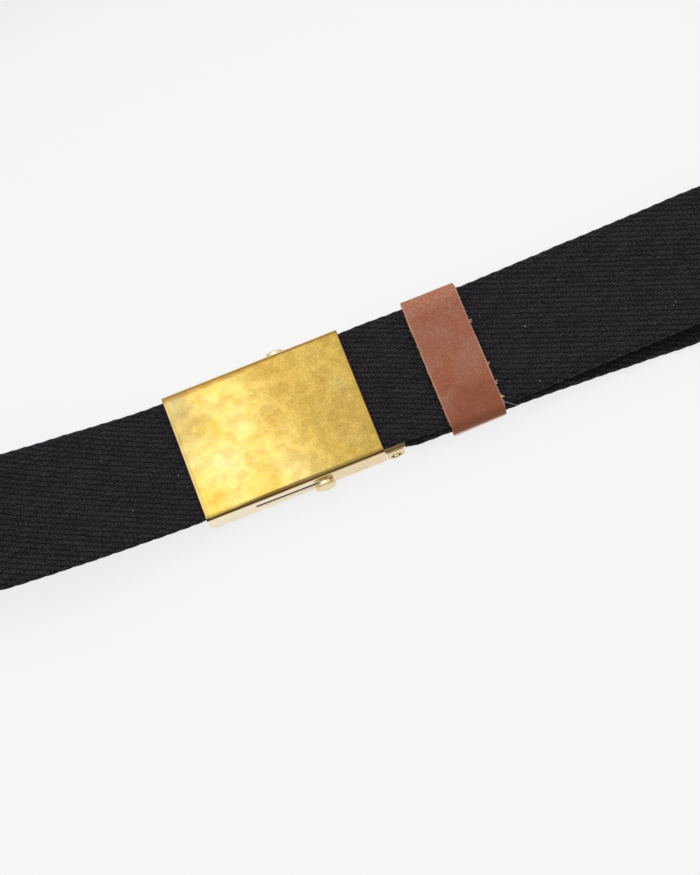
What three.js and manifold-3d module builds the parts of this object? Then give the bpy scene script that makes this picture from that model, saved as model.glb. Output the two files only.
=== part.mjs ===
// A fastened canvas web belt with a brass slide buckle and a leather keeper, lying on a surface.
// Millimetres, +Z up. X runs along the belt's front, Y from the front to the back of the loop.
// The front lies flat with the buckle's face up; the sides and back stand on the strap's outer edge.
// The origin is on that surface, under the middle of the loop.
import * as THREE from "three";
import { mergeVertices } from "three/addons/utils/BufferGeometryUtils.js";
import Module from "manifold-3d";

const wasm = await Module();
wasm.setup();

// Webbing
const strapWidth = 38.6;
const strapThickness = 2.0;
const selvedgeRound = 0.6; // how far the woven edge is rounded off
const tailLength = 123; // free end, from the buckle's right end
const tailDrift = 1.8; // how far the free end has swung towards the back
const fixedDrift = 0.9; // how far the fixed strap lies nearer the front than the tail on it
const fixedSag = 1.0; // how far the fixed strap sinks between the clamp and the keeper

// Space left between pieces that touch
const gap = 0.3;

// Buckle case: one sheet of brass, a face with two side walls bent back
const caseLength = 54;
const caseDepth = 8.3;
const faceThickness = 0.9;
const sheetBend = 0.7; // inner radius of the bends in the brass sheets
const wallEntryRound = 3.0; // rear corner of the wall where the strap goes in
const wallExitRound = 1.0;
const faceEdgeRound = 0.35;

// Friction bar, which slides in a slanting slot of each wall
const barRadius = 1.5;
const journalRadius = 1.2;
const headRadius = 3.0;
const headThickness = 1.4;
const headCrown = 0.5;
const barSetback = 6.0; // from the clamp's inner end
const slotPastBar = 1.4;
const slotInset = 15.5; // from the case's left end to the middle of the slot's round end
const slotFall = 0.8; // how much nearer the face the slot's far end lies

// Clamp that holds the strap's fixed end: a plate with two ears, a pin and a jaw
const clampThickness = 0.8;
const clampReach = 6.2; // past the end of the case
const clampGrip = 13; // inside the case
const clampInset = 0.6; // ears lie this far inside the case's outer faces
const clampEdgeRound = 0.2;
const earSetback = 0.8; // ears end this far short of the plate
const earWall = 0.9; // round the pin's hole
const earShoulder = 0.45; // how much wider an ear is at its root, on each side
const pinRadius = 0.9;
const pinRecess = 0.4;
const knuckleWall = 0.7;
const jawLength = 13;
const strapSetback = 1.0; // from the clamp's inner end to the strap's fixed end

// Leather keeper
const keeperDistance = 19.8; // from the buckle's right end
const keeperWidth = 16.7;
const leatherThickness = 1.4;
const leatherFold = 1.3; // inner radius of its folds

// Loop: how far it runs on past the buckle and past the keeper, and back from the front strap
const leftRun = 120;
const rightRun = 152;
const loopDepth = 176;
const caseEasing = 5; // straight stretch just outside the buckle
const clampEasing = 4; // where the strap is at its full width again past the clamp
const keeperEasing = 2; // straight stretch on each side of the keeper
const keeperFollow = 8; // where the fixed strap starts to sink behind the keeper
const stationSpacing = 8;

// Heights, from the floor up, as the pieces lie on each other
const boreRadius = pinRadius + gap;
const earRadius = boreRadius + earWall;
const pinHeight = earRadius;
const knuckleRadius = boreRadius + knuckleWall;
const jawTop = pinHeight + knuckleRadius;
const fixedHeight = jawTop + gap + strapThickness / 2;
const plateFloor = fixedHeight + strapThickness / 2 + gap;
const plateTop = plateFloor + clampThickness;
const slidingHeight = plateTop + gap + strapThickness / 2;
const faceFloor = slidingHeight + strapThickness / 2 + gap;
const faceTop = faceFloor + faceThickness;
const tailHeight = fixedHeight + strapThickness + gap;
const barHeight = slidingHeight - strapThickness / 2 - gap - barRadius;

// Places along the belt
const caseEnd = caseLength / 2;
const caseInner = strapWidth;
const caseWidth = caseInner + 2 * faceThickness;
const clampWidth = caseWidth - 2 * clampInset;
const clampInner = clampWidth - 2 * clampThickness;
const clampStart = caseEnd - clampGrip;
const clampEnd = caseEnd + clampReach;
const earEnd = clampEnd - earSetback;
const pinPlace = earEnd - earRadius - earShoulder;
const barPlace = clampStart - barSetback;
const keeperStart = caseEnd + keeperDistance;
const keeperEnd = keeperStart + keeperWidth;
const tailEnd = caseEnd + tailLength;

const brass = { color: 0xd9b44a, roughness: 0.35, metalness: 1.0 };
const paleBrass = { color: 0xe2c98a, roughness: 0.25, metalness: 1.0 };
const blackCotton = { color: 0x1b1a1c, roughness: 0.95, metalness: 0.0 };
const tanLeather = { color: 0x9a553c, roughness: 0.6, metalness: 0.0 };

const acrossBelt = new THREE.Matrix4().makeBasis(
  new THREE.Vector3(1, 0, 0),
  new THREE.Vector3(0, 0, 1),
  new THREE.Vector3(0, -1, 0),
);
const alongBelt = new THREE.Matrix4().makeBasis(
  new THREE.Vector3(0, 1, 0),
  new THREE.Vector3(0, 0, 1),
  new THREE.Vector3(1, 0, 0),
);

function mesh(name, geometry, finish) {
  const made = new THREE.Mesh(geometry, new THREE.MeshStandardMaterial(finish));
  made.name = name;
  return made;
}

// A geometry as a manifold-3d solid, with only its positions kept.
function solid(geometry) {
  const bare = geometry.clone();
  bare.deleteAttribute("normal");
  bare.deleteAttribute("uv");
  const merged = mergeVertices(bare, 1e-4);
  return new wasm.Manifold(
    new wasm.Mesh({
      numProp: 3,
      vertProperties: new Float32Array(merged.attributes.position.array),
      triVerts: new Uint32Array(merged.index.array),
    }),
  );
}

function geometryOf(made) {
  const { vertProperties, triVerts } = made.getMesh();
  const geometry = new THREE.BufferGeometry();
  geometry.setAttribute("position", new THREE.BufferAttribute(vertProperties, 3));
  geometry.setIndex(new THREE.BufferAttribute(triVerts, 1));
  geometry.computeVertexNormals();
  return geometry;
}

function extrusion(shape, length, roundSteps) {
  return new THREE.ExtrudeGeometry(shape, {
    depth: length,
    bevelEnabled: false,
    curveSegments: roundSteps,
  });
}

// A side view, X and Z, extruded across the belt and centred on it.
function sideExtrusion(shape, width, roundSteps = 8) {
  return extrusion(shape, width, roundSteps).applyMatrix4(acrossBelt).translate(0, width / 2, 0);
}

// A cross-section, Y and Z, extruded along the belt from one place to another.
function lengthExtrusion(shape, from, to, roundSteps = 5) {
  return extrusion(shape, to - from, roundSteps).applyMatrix4(alongBelt).translate(from, 0, 0);
}

// A plan, X and Y, extruded upwards.
function planExtrusion(shape, from, to) {
  return extrusion(shape, to - from, 1).translate(0, 0, from);
}

// A closed outline of rounded corners, given in order: each is [x, y, radius].
function roundedOutline(corners) {
  const shape = new THREE.Shape();
  corners.forEach(([x, y, radius], i) => {
    const here = new THREE.Vector2(x, y);
    const [lastX, lastY] = corners[(i + corners.length - 1) % corners.length];
    const [nextX, nextY] = corners[(i + 1) % corners.length];
    const back = new THREE.Vector2(lastX, lastY).sub(here).normalize();
    const on = new THREE.Vector2(nextX, nextY).sub(here).normalize();
    const halfAngle = Math.acos(THREE.MathUtils.clamp(back.dot(on), -1, 1)) / 2;
    const setback = radius / Math.tan(halfAngle);
    const start = here.clone().addScaledVector(back, setback);
    if (i === 0) shape.moveTo(start.x, start.y);
    else shape.lineTo(start.x, start.y);
    if (radius === 0) return;
    const inward = back.clone().add(on).normalize();
    const centre = here.clone().addScaledVector(inward, radius / Math.sin(halfAngle));
    const end = here.clone().addScaledVector(on, setback);
    const clockwise = back.cross(on) > 0;
    shape.absarc(
      centre.x,
      centre.y,
      radius,
      Math.atan2(start.y - centre.y, start.x - centre.x),
      Math.atan2(end.y - centre.y, end.x - centre.x),
      clockwise,
    );
  });
  shape.closePath();
  return shape;
}

// The cross-section of a sheet bent into a channel that opens downwards.
function channelSection(width, top, bottom, thickness) {
  const half = width / 2;
  const inner = half - thickness;
  const outerBend = sheetBend + thickness;
  return roundedOutline([
    [-half, bottom, 0],
    [-inner, bottom, 0],
    [-inner, top - thickness, sheetBend],
    [inner, top - thickness, sheetBend],
    [inner, bottom, 0],
    [half, bottom, 0],
    [half, top, outerBend],
    [-half, top, outerBend],
  ]);
}

// The slot: its near end round the bar, its far end nearer the face.
function slotHole() {
  const radius = journalRadius + gap;
  const far = new THREE.Vector2(slotInset - caseEnd, barHeight + slotFall);
  const slope = slotFall / (barPlace - far.x);
  const near = new THREE.Vector2(barPlace + slotPastBar, barHeight - slope * slotPastBar);
  const tilt = Math.atan2(near.y - far.y, near.x - far.x);
  const hole = new THREE.Path();
  hole.absarc(near.x, near.y, radius, tilt - Math.PI / 2, tilt + Math.PI / 2, false);
  hole.absarc(far.x, far.y, radius, tilt + Math.PI / 2, tilt + (3 * Math.PI) / 2, false);
  hole.closePath();
  return hole;
}

function buckleCase() {
  const rear = faceTop - caseDepth;
  const channel = channelSection(caseWidth, faceTop, rear, faceThickness);
  const side = roundedOutline([
    [-caseEnd, rear, wallEntryRound],
    [caseEnd, rear, wallExitRound],
    [caseEnd, faceTop, faceEdgeRound],
    [-caseEnd, faceTop, faceEdgeRound],
  ]);
  side.holes.push(slotHole());
  const sheet = solid(lengthExtrusion(channel, -caseEnd, caseEnd));
  const cut = solid(sideExtrusion(side, caseWidth));
  return geometryOf(sheet.intersect(cut));
}

// The dome of a bar's head: radius as a share of the head's, height as a share of the crown's.
const domeRows = [
  { radius: 0.0, height: 1.0 },
  { radius: 0.45, height: 0.8 },
  { radius: 0.8, height: 0.35 },
  { radius: 1.0, height: -0.7 },
];

function frictionBar() {
  const headStart = caseWidth / 2 + gap;
  const headEnd = headStart + headThickness;
  const rodEnd = caseInner / 2 - gap;
  const half = [
    ...domeRows.map(({ radius, height }) => [radius * headRadius, headEnd + height * headCrown]),
    [headRadius, headStart],
    [journalRadius, headStart],
    [journalRadius, rodEnd],
    [barRadius, rodEnd],
  ];
  const profile = [
    ...half.map(([radius, along]) => new THREE.Vector2(radius, -along)),
    ...half.map(([radius, along]) => new THREE.Vector2(radius, along)).reverse(),
  ];
  return new THREE.LatheGeometry(profile, 24).translate(barPlace, 0, barHeight);
}

function pinHole() {
  const hole = new THREE.Path();
  hole.absarc(pinPlace, pinHeight, boreRadius, 0, 2 * Math.PI, false);
  return hole;
}

// The clamp's plate lies between the two layers of strap; its ears hang past the end of the case.
function clampPlate() {
  const earFloor = pinHeight - earRadius;
  const earRound = earRadius * 0.9;
  const channel = channelSection(clampWidth, plateTop, earFloor, clampThickness);
  const side = roundedOutline([
    [clampStart, plateFloor, 0],
    [pinPlace - earRadius - earShoulder, plateFloor, 0],
    [pinPlace - earRadius - earShoulder, pinHeight, 0],
    [pinPlace - earRadius, earFloor, earRound],
    [pinPlace + earRadius, earFloor, earRound],
    [earEnd, pinHeight, 0],
    [earEnd, plateFloor - clampThickness / 2, 0],
    [clampEnd, plateFloor, 0],
    [clampEnd, plateTop, clampEdgeRound],
    [clampStart, plateTop, 0],
  ]);
  side.holes.push(pinHole());
  const insideHalf = caseInner / 2 - gap;
  const outsideHalf = clampWidth / 2;
  const shoulder = caseEnd + gap;
  const plan = new THREE.Shape([
    new THREE.Vector2(clampStart, -insideHalf),
    new THREE.Vector2(shoulder, -insideHalf),
    new THREE.Vector2(shoulder, -outsideHalf),
    new THREE.Vector2(clampEnd, -outsideHalf),
    new THREE.Vector2(clampEnd, outsideHalf),
    new THREE.Vector2(shoulder, outsideHalf),
    new THREE.Vector2(shoulder, insideHalf),
    new THREE.Vector2(clampStart, insideHalf),
  ]);
  return geometryOf(
    solid(lengthExtrusion(channel, clampStart, clampEnd))
      .intersect(solid(sideExtrusion(side, clampWidth)))
      .intersect(solid(planExtrusion(plan, earFloor, plateTop))),
  );
}

// The jaw hangs on the pin and backs the strap's fixed end.
function clampJaw() {
  const jawFloor = jawTop - clampThickness;
  const side = new THREE.Shape();
  const joinAngle = Math.asin((jawFloor - pinHeight) / knuckleRadius);
  side.moveTo(pinPlace - jawLength, jawFloor);
  side.absarc(pinPlace, pinHeight, knuckleRadius, Math.PI - joinAngle, Math.PI / 2 + 2 * Math.PI, false);
  side.lineTo(pinPlace - jawLength, jawTop);
  side.closePath();
  side.holes.push(pinHole());
  return sideExtrusion(side, clampInner - 2 * gap, 10);
}

function hingePin() {
  const length = clampWidth - 2 * pinRecess;
  return new THREE.CylinderGeometry(pinRadius, pinRadius, length, 20).translate(pinPlace, 0, pinHeight);
}

function leatherKeeper() {
  const back = strapWidth / 2 + gap;
  const front = -back - fixedDrift;
  const floor = fixedHeight - strapThickness / 2 - gap;
  const top = tailHeight + strapThickness / 2 + gap;
  const ring = (outset) =>
    roundedOutline([
      [front - outset, floor - outset, leatherFold + outset],
      [back + outset, floor - outset, leatherFold + outset],
      [back + outset, top + outset, leatherFold + outset],
      [front - outset, top + outset, leatherFold + outset],
    ]);
  const band = ring(leatherThickness);
  band.holes.push(ring(0));
  return lengthExtrusion(band, keeperStart, keeperEnd, 6);
}

// The loop beyond the flat front, from the right side round the back to the left side, a row for each
// place. Reach is a share of the right run, or of the left one where it is negative, back is a share
// of the loop's depth, and lift is how far the outer edge is off the surface, as a share of the
// strap's width. Roll is how far the inner edge has turned up, in degrees.
const turns = [
  { reach: 0.13, back: -0.007, lift: 0.065, roll: 0 },
  { reach: 0.41, back: -0.012, lift: 0.005, roll: 0 },
  { reach: 0.56, back: -0.006, lift: 0.02, roll: 6 },
  { reach: 0.69, back: 0.02, lift: 0.06, roll: 20 },
  { reach: 0.815, back: 0.075, lift: 0.06, roll: 38 },
  { reach: 0.925, back: 0.185, lift: 0.03, roll: 59 },
  { reach: 0.985, back: 0.34, lift: 0.0, roll: 78 },
  { reach: 1.0, back: 0.52, lift: 0.0, roll: 87 },
  { reach: 0.9, back: 0.74, lift: 0.0, roll: 88 },
  { reach: 0.62, back: 0.92, lift: 0.0, roll: 88 },
  { reach: 0.18, back: 0.99, lift: 0.0, roll: 88 },
  { reach: -0.24, back: 0.95, lift: 0.0, roll: 88 },
  { reach: -0.72, back: 0.8, lift: 0.0, roll: 88 },
  { reach: -0.96, back: 0.58, lift: 0.0, roll: 87 },
  { reach: -0.98, back: 0.35, lift: 0.02, roll: 76 },
  { reach: -0.87, back: 0.14, lift: 0.14, roll: 50 },
  { reach: -0.67, back: 0.035, lift: 0.29, roll: 24 },
  { reach: -0.44, back: 0.006, lift: 0.36, roll: 6 },
  { reach: -0.2, back: 0.0, lift: 0.29, roll: 1 },
];

// A place on the straight front, where the strap lies flat.
function frontRow(along, height, width, drift = 0) {
  return { centre: new THREE.Vector3(along, drift, height), roll: 0, width };
}

function turnRow({ reach, back, lift, roll }) {
  const angle = roll * THREE.MathUtils.DEG2RAD;
  const rise = (Math.sin(angle) * strapWidth + Math.cos(angle) * strapThickness) / 2;
  const rightPlace = keeperEnd + keeperFollow + reach * rightRun;
  const leftPlace = -caseEnd - caseEasing + reach * leftRun;
  const along = reach > 0 ? rightPlace : leftPlace;
  const centre = new THREE.Vector3(along, back * loopDepth, lift * strapWidth + rise);
  return { centre, roll: angle, width: strapWidth };
}

// The webbing's middle line, from the clamped end round the loop to the tail. It is pinched a
// little between the ears of the clamp and between the walls of the case.
function strapRoute() {
  const clamped = clampInner - 2 * gap;
  const sliding = caseInner - 2 * gap;
  return [
    frontRow(clampStart + strapSetback, fixedHeight, clamped),
    frontRow(clampEnd - clampEasing, fixedHeight, clamped),
    frontRow(clampEnd, fixedHeight, clamped),
    frontRow(clampEnd + clampEasing, fixedHeight - fixedSag, strapWidth, -fixedDrift / 2),
    frontRow(keeperStart - keeperEasing, fixedHeight, strapWidth, -fixedDrift),
    frontRow(keeperEnd + keeperEasing, fixedHeight, strapWidth, -fixedDrift),
    frontRow(keeperEnd + keeperFollow, fixedHeight, strapWidth, -fixedDrift),
    ...turns.map(turnRow),
    frontRow(-caseEnd - caseEasing, slidingHeight, sliding),
    frontRow(-caseEnd, slidingHeight, sliding),
    frontRow(caseEnd, slidingHeight, sliding),
    frontRow(clampEnd, slidingHeight, sliding),
    frontRow(keeperStart - keeperEasing, tailHeight, strapWidth),
    frontRow(keeperEnd + keeperEasing, tailHeight, strapWidth),
    frontRow(tailEnd, tailHeight, strapWidth, tailDrift),
  ];
}

// Where the cross-sections go, as row numbers with shares between them: one at each row at least.
function stationPlaces(rows) {
  const places = [0];
  for (let i = 1; i < rows.length; i++) {
    const steps = Math.ceil(rows[i].centre.distanceTo(rows[i - 1].centre) / stationSpacing);
    for (let k = 1; k <= steps; k++) places.push(i - 1 + k / steps);
  }
  return places;
}

function strapStations() {
  const rows = strapRoute();
  const line = new THREE.CatmullRomCurve3(rows.map((row) => row.centre));
  const rowNumbers = rows.map((row, i) => i);
  const rollAt = new THREE.CubicInterpolant(rowNumbers, rows.map((row) => row.roll), 1);
  const widthAt = new THREE.LinearInterpolant(rowNumbers, rows.map((row) => row.width), 1);
  const up = new THREE.Vector3(0, 0, 1);
  return stationPlaces(rows).map((place) => {
    const centre = line.getPoint(place / (rows.length - 1));
    const along = line.getTangent(place / (rows.length - 1));
    const roll = rollAt.evaluate(place)[0];
    const across = up.clone().cross(along).normalize().applyAxisAngle(along, roll);
    const outward = along.clone().cross(across);
    return { centre, across, outward, width: widthAt.evaluate(place)[0] };
  });
}

// The webbing's cross-section, with rounded selvedges: across and outward, in order round it.
function strapSection(width) {
  const side = width / 2;
  const face = strapThickness / 2;
  const r = selvedgeRound;
  return [
    [-side + r, -face],
    [side - r, -face],
    [side, -face + r],
    [side, face - r],
    [side - r, face],
    [-side + r, face],
    [-side, face - r],
    [-side, -face + r],
  ];
}

function webbing() {
  const stations = strapStations();
  const positions = [];
  for (const { centre, across, outward, width } of stations) {
    for (const [sideways, out] of strapSection(width)) {
      const corner = centre.clone().addScaledVector(across, sideways).addScaledVector(outward, out);
      positions.push(corner.x, corner.y, corner.z);
    }
  }
  const ring = strapSection(strapWidth).length;
  const last = (stations.length - 1) * ring;
  const index = [];
  for (let i = 0; i < stations.length - 1; i++) {
    for (let k = 0; k < ring; k++) {
      const a = i * ring + k;
      const b = i * ring + ((k + 1) % ring);
      index.push(a, b, b + ring, a, b + ring, a + ring);
    }
  }
  for (let k = 1; k < ring - 1; k++) {
    index.push(0, k + 1, k);
    index.push(last, last + k, last + k + 1);
  }
  const geometry = new THREE.BufferGeometry();
  geometry.setAttribute("position", new THREE.Float32BufferAttribute(positions, 3));
  geometry.setIndex(index);
  geometry.computeVertexNormals();
  return geometry;
}

const belt = new THREE.Group();
belt.name = "canvas_web_belt";
belt.add(
  mesh("webbing", webbing(), blackCotton),
  mesh("buckle_case", buckleCase(), brass),
  mesh("friction_bar", frictionBar(), paleBrass),
  mesh("clamp_plate", clampPlate(), brass),
  mesh("clamp_jaw", clampJaw(), brass),
  mesh("hinge_pin", hingePin(), paleBrass),
  mesh("leather_keeper", leatherKeeper(), tanLeather),
);

// The origin goes to the middle of the whole belt, on the surface that it lies on.
const extent = new THREE.Box3().setFromObject(belt);
const middle = extent.getCenter(new THREE.Vector3());
belt.position.set(-middle.x, -middle.y, -extent.min.z);

export default belt;
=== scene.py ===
import math
import random

import bmesh
import bpy
import numpy as np
from mathutils import Matrix, Vector, noise


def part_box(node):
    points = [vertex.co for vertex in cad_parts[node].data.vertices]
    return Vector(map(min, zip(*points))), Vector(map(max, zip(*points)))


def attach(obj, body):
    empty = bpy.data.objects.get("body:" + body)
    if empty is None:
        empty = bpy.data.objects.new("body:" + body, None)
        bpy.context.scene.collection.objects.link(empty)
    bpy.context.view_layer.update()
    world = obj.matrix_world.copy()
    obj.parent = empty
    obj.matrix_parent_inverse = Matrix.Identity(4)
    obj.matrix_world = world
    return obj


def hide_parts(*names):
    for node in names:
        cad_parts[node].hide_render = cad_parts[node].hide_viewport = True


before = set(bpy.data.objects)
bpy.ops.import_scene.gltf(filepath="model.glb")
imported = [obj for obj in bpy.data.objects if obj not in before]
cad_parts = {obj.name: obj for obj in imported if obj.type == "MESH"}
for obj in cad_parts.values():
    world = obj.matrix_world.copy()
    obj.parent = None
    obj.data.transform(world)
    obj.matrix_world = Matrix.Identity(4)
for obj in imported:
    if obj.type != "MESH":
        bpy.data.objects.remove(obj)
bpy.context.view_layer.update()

MM = 0.001
SEED = 41

# Webbing
STRAP_WIDTH = 38.6
STRAP_THICKNESS = 2.0
TAIL_END = 150.0
TAIL_DRIFT = 1.8
FIXED_DRIFT = 0.9
FIXED_SAG = 1.0
CLAMPED_END = 15.0
CLAMP_LEAD = 4
KEEPER_LEAD = 2
CLAMPED_WIDTH = 37.0
SLIDING_WIDTH = 38.0
FIXED_HEIGHT = 5.3
SLIDING_HEIGHT = 8.7
TAIL_HEIGHT = 7.6

# Buckle
CASE_END = 27.0
CASE_WIDTH = 40.4
FACE_TOP = 10.9
CLAMP_END = 33.2
PLATE_TOP = 7.4
PIN_PLACE = 29.85
PIN_HEIGHT = 2.1
PIN_RADIUS = 0.9
PIN_HALF = 19.7
PIN_BEVEL = 0.35
BAR_PLACE = 8.0
BAR_SHIFT = -0.25
BAR_HEIGHT = 5.9
BAR_GAP = 0.3
HEAD_THICKNESS = 1.4
SHEET_WAVE = 0.05

# Keeper
KEEPER_START = 46.8
KEEPER_END = 63.5
KEEPER_FRONT = -20.5
KEEPER_BACK = 19.6
KEEPER_FLOOR = 4.0
KEEPER_TOP = 8.9
LEATHER = 1.4
LEATHER_FOLD = 1.3
KEEPER_CELLS = (16, 150)
KEEPER_NARROWS = 0.35
KEEPER_BEND = 1.6
KEEPER_TUCK = 0.6
KEEPER_WAVE = 0.10
KEEPER_RAGGED = 0.16
KEEPER_BEVEL = 0.22
TUFT_PLACES = (7.2, -6.6, -12.8, -17.4)
SHORT_FIBRES = 70

# Loop beyond the flat front: reach, back, lift and roll of each place, as in the part
LEFT_RUN = 120.0
RIGHT_RUN = 152.0
LOOP_DEPTH = 176.0
LEFT_START = -32.0
RIGHT_START = 71.5
TURNS = [
    (0.13, -0.007, 0.065, 0),
    (0.41, -0.012, 0.005, 0),
    (0.56, -0.006, 0.02, 6),
    (0.69, 0.02, 0.06, 20),
    (0.815, 0.075, 0.06, 38),
    (0.925, 0.185, 0.03, 59),
    (0.985, 0.34, 0.0, 78),
    (1.0, 0.52, 0.0, 87),
    (0.9, 0.74, 0.0, 88),
    (0.62, 0.92, 0.0, 88),
    (0.18, 0.99, 0.0, 88),
    (-0.24, 0.95, 0.0, 88),
    (-0.72, 0.8, 0.0, 88),
    (-0.96, 0.58, 0.0, 87),
    (-0.98, 0.35, 0.02, 76),
    (-0.87, 0.14, 0.14, 50),
    (-0.67, 0.035, 0.29, 24),
    (-0.44, 0.006, 0.36, 6),
    (-0.2, 0.0, 0.29, 1),
]

# Weave: ribs that slant across the strap, with a crossing yarn at every pick along it
RIB_PITCH = 1.53
RIB_SLANT = math.radians(23)
RIB_DEPTH = 0.08
PICK_PITCH = 1.45
SELVEDGE_BUMP = 0.2
SELVEDGE_WANDER = 0.16
EDGE_INSET = 1.0
STRAP_RIPPLE = 0.12
CURVE_STEPS = 60
STATION_STEP = 1.305
FACE_CELLS = 88
BACK_CELLS = 16
EDGE_CELLS = 5
RIB_SHARPNESS = 0.32
YARN_HEIGHT = 0.36
YARN_BASE = 0.32
CREST_HEIGHT = 0.08
PICK_HEIGHT = 0.14
FUZZ_HEIGHT = 0.6

# Loose fibres: how many, their radius and their shortest and longest length
FUZZ_COUNT = 900
FUZZ_ON_EDGES = 0.75
FUZZ_RADIUS = 0.026
FUZZ_LENGTHS = (0.35, 1.0)
LINT_COUNT = 60
LINT_RADIUS = 0.045
LINT_LENGTHS = (0.3, 0.8)
THREAD = {"start": (63.2, -18.8, 9.7), "way": (1.0, -0.8, -0.15), "length": 5.2, "radius": 0.07}
SEEN_LINT_RADIUS = 0.15
SEEN_LINT = [(77.7, -0.2, 0.6), (75.2, -17.2, 0.6), (36.6, -4.0, 0.4), (92.0, 9.0, 0.4)]

# Colours of each finish. A pair is a colour and what the clouds turn it into.
COTTON_TONES = {
    # From painted shade in the weave's grooves to a painted highlight on its crests.
    "yarn": ((0.0024, 0.002, 0.003), (0.053, 0.047, 0.057)),
    "faded": (0.026, 0.024, 0.028),
    "cut end": ((0.06, 0.056, 0.06), (0.008, 0.007, 0.009)),
}
BRASS_TONES = {
    # The left half's tones carry a painted reflection; the right half's are darker, without it.
    "left half": ((0.68, 0.46, 0.085), (0.74, 0.58, 0.18)),
    "right half": ((0.46, 0.295, 0.055), (0.50, 0.34, 0.08)),
    # The lip's painted highlight, pale on the left and brown on the right.
    "lip": ((0.66, 0.53, 0.28), (0.40, 0.25, 0.07)),
    # Painted shade in the near bend.
    "near bend shade": ((0.20, 0.115, 0.03), (0.33, 0.21, 0.07)),
    # The walls' pale tones are a painted reflection of the floor.
    "wall": ((0.90, 0.76, 0.50), (0.98, 0.88, 0.66)),
    "left wall": (1.0, 0.93, 0.72),
    "right wall": (0.78, 0.57, 0.27),
    # The cut edge runs from a painted highlight to a painted shadow.
    "cut edge": ((1.0, 0.86, 0.68), (0.09, 0.045, 0.015)),
}
LEATHER_TONES = {
    "face": ((0.385, 0.11, 0.043), (0.40, 0.16, 0.097)),
    "low line": (0.95, 0.66, 0.50),
    "raw edge": ((0.30, 0.13, 0.07), (0.62, 0.38, 0.24)),
}

# Marks that cover a finish, real ones and painted highlights and shade: how strongly, and their
# colour
DUST = (0.15, (0.42, 0.41, 0.4))
BRASS_MARKS = {
    "pale wisp": (0.55, (0.78, 0.67, 0.29)),
    "brushed": (0.25, (0.80, 0.68, 0.33)),
    "stain": (0.12, (0.60, 0.37, 0.06)),
    "grey": (0.8, (0.42, 0.31, 0.105)),
    "scratch": (0.15, (0.8, 0.68, 0.3)),
    "pit": (0.5, (0.36, 0.22, 0.05)),
    # Painted shade line inside the case's rolled ends.
    "fold": (0.45, (0.38, 0.25, 0.07)),
    # Painted shade band in the far bend, and a painted highlight on its outermost line.
    "far band shade": (0.8, (0.36, 0.19, 0.04)),
    "rim_highlight": (0.9, (0.88, 0.66, 0.36)),
    "plain scratch": (0.4, (1.0, 0.9, 0.62)),
    # Painted shade on the clamp's near fold, and a painted shadow in the gap round the pin.
    "plain fold shade": (0.85, (0.24, 0.15, 0.05)),
    "pin ring shadow": (0.9, (0.07, 0.04, 0.02)),
}
LEATHER_MARKS = {
    # Painted shade towards the keeper's front, and a painted highlight on its far fold.
    "front": (0.9, (0.265, 0.066, 0.018)),
    "far": (0.6, (0.60, 0.26, 0.16)),
    "mottle": (0.5, (0.21, 0.055, 0.022)),
    "rubbed": (0.7, (0.60, 0.35, 0.24)),
}
GREY_CORNER = (-23.5, 10.0, FACE_TOP)
GREY_END = (25.0, -8.0, FACE_TOP)
# Where the face's painted reflection fades out towards the right.
REFLECTION_BORDER = (12.0, -11.0)
BORDER_LEAN = 0.4
BORDER_RAGGED = 7.0

# Where the painted lines of light and shade along the ends, bends and slots, the walls' colour and
# the keeper's rubbed edges start and end, in millimetres inside an end, a side or the top
END_LIP = (0.55, 0.25)
END_FOLD = (1.6, 0.8)
FAR_BAND = 1.7
FAR_RIM = (0.95, 0.6)
NEAR_LINE = 0.72
WALL = (0.75, 1.15)
SLOT_SHADOW = (0.45, 0.55)
RUBBED_EDGE = (0.6, 0.1)

# Marks on the buckle's face, as in the photo: place, radius, strength and colour
FACE_MARKS = [
    (-16.0, -6.0, 9.0, 0.28, (0.80, 0.70, 0.40)),
    (-9.0, 5.0, 6.0, 0.22, (0.80, 0.70, 0.38)),
    (-14.0, 11.5, 4.0, 0.2, (0.80, 0.70, 0.38)),
    (-3.0, -8.0, 6.0, 0.15, (0.78, 0.66, 0.30)),
    (-25.0, 17.5, 7.0, 0.7, (0.45, 0.34, 0.15)),
    (-25.5, 0.0, 5.0, 0.6, (0.50, 0.36, 0.12)),
    (-24.5, -17.0, 7.0, 0.6, (0.64, 0.41, 0.05)),
    (-10.0, -17.0, 7.5, 0.35, (0.66, 0.44, 0.07)),
    (25.5, 16.0, 5.0, 0.5, (0.40, 0.28, 0.07)),
    (1.5, 1.5, 3.2, 0.5, (0.48, 0.28, 0.05)),
    (-1.0, 13.0, 2.5, 0.4, (0.55, 0.36, 0.07)),
    (22.0, 4.0, 5.0, 0.3, (0.42, 0.36, 0.15)),
]

# Camera, as fitted to the photo: angles in degrees, lens and picture in pixels
CAMERA_ANGLES = (1.12, 70.6, -20.55)
CAMERA_DISTANCE = 729.52
CAMERA_AIM = (19.39, -8.69, 0.0)
LENS = 2535.52
PICTURE_WIDTH = 700
SENSOR = 36.0

case_low, case_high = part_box("buckle_case")
case_middle = ((case_low.x + case_high.x) / 2, (case_low.y + case_high.y) / 2)
ORIGIN = Vector((*case_middle, case_high.z - FACE_TOP * MM))
draw = random.Random(SEED)


# Making nodes

def fill(tree, made, inputs):
    """Links each input to a socket, or sets it to a plain value."""
    for key, value in inputs.items():
        if isinstance(value, bpy.types.NodeSocket):
            tree.links.new(value, made.inputs[key])
        else:
            made.inputs[key].default_value = value


def node(tree, kind, inputs=None, **settings):
    made = tree.nodes.new("ShaderNode" + kind)
    for name, value in settings.items():
        setattr(made, name, value)
    fill(tree, made, inputs or {})
    return made


def maths(tree, operation, first, second=0.0, clamp=False):
    return node(tree, "Math", {0: first, 1: second}, operation=operation, use_clamp=clamp).outputs[0]


def times(tree, first, second, clamp=False):
    return maths(tree, "MULTIPLY", first, second, clamp)


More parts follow.
